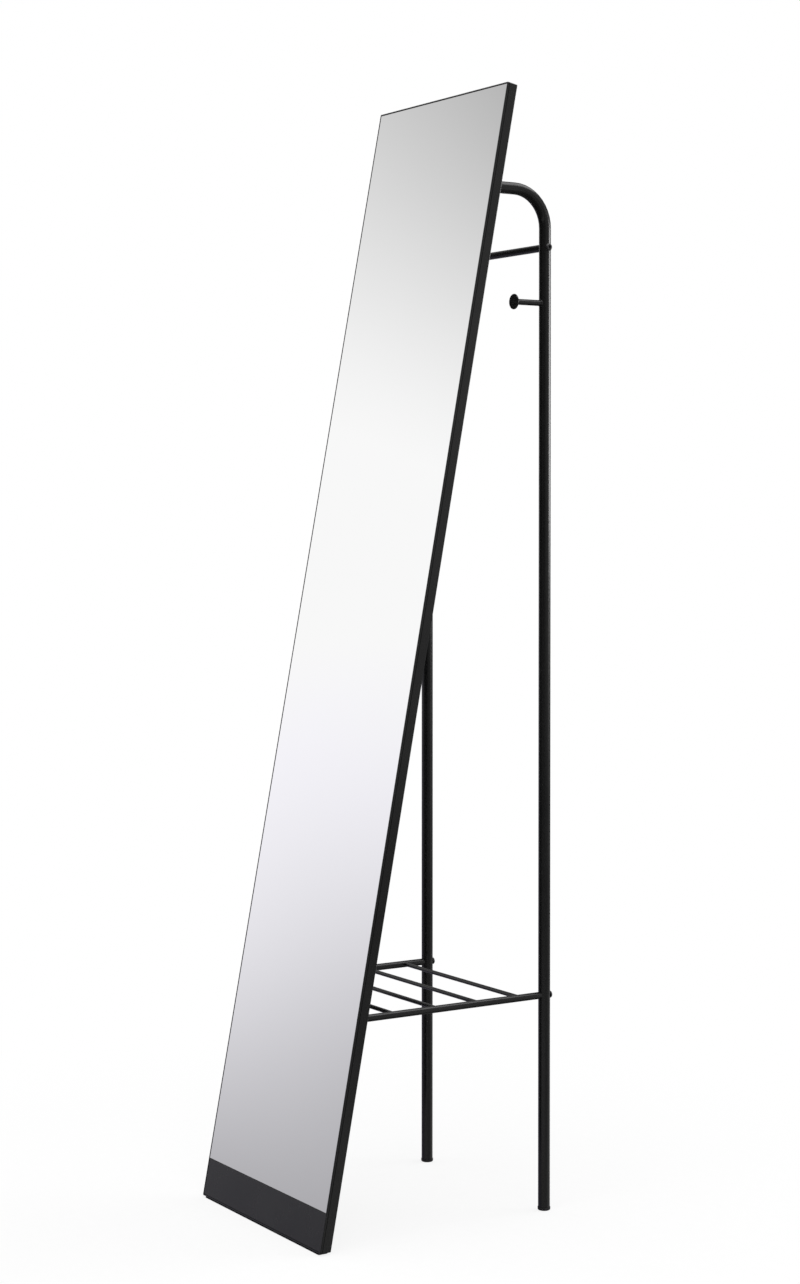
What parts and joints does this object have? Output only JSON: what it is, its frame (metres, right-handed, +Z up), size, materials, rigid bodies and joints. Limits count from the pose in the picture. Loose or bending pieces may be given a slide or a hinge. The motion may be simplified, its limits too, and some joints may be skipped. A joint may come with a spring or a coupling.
{
  "type": "floor mirror with clothes stand",
  "caption": "Tall leaning mirror in a thin black metal frame on a bent-tube stand, with a clothes bar, peg hooks and an open wire shelf behind it.",
  "frame": {"origin": "centre of the part's box, on the floor", "axes": "+X to the right across the mirror, +Y to the back towards the legs, +Z up"},
  "size_m": [0.3376, 0.395, 1.6087],
  "materials": {
    "black_metal": "satin black powder coat",
    "kick_plate": "matt black coat",
    "black_bolts": "black oxide",
    "silvered_glass": "polished mirror glass",
    "board": "black faced fibreboard",
    "tape": "foam mounting tape",
    "pad": "matt anti-slip strip",
    "glide": "matt black"
  },
  "bodies": {
    "root": {"frame_left_stile": "black_metal", "frame_right_stile": "black_metal", "frame_top_rail": "black_metal", "frame_bottom_rail": "black_metal", "leg_left": "black_metal", "leg_right": "black_metal", "leg_spigot_left": "black_metal", "leg_spigot_right": "black_metal", "hanging_bar": "black_metal", "hook_peg_left": "black_metal", "hook_peg_right": "black_metal", "hook_disc_left": "black_metal", "hook_disc_right": "black_metal", "shelf_rail_left": "black_metal", "shelf_rail_right": "black_metal", "shelf_rod_1": "black_metal", "shelf_rod_2": "black_metal", "shelf_rod_3": "black_metal", "shelf_rod_4": "black_metal", "kick_panel": "kick_plate", "hanging_bar_bolts": "black_bolts", "shelf_bolts": "black_bolts", "leg_set_screws": "black_bolts", "board_screws": "black_bolts", "kick_screws": "black_bolts", "mirror_glass": "silvered_glass", "backing_board": "board", "mirror_tapes": "tape", "base_pad": "pad", "foot_glide_left": "glide", "foot_glide_right": "glide"}
  },
  "joints": []
}
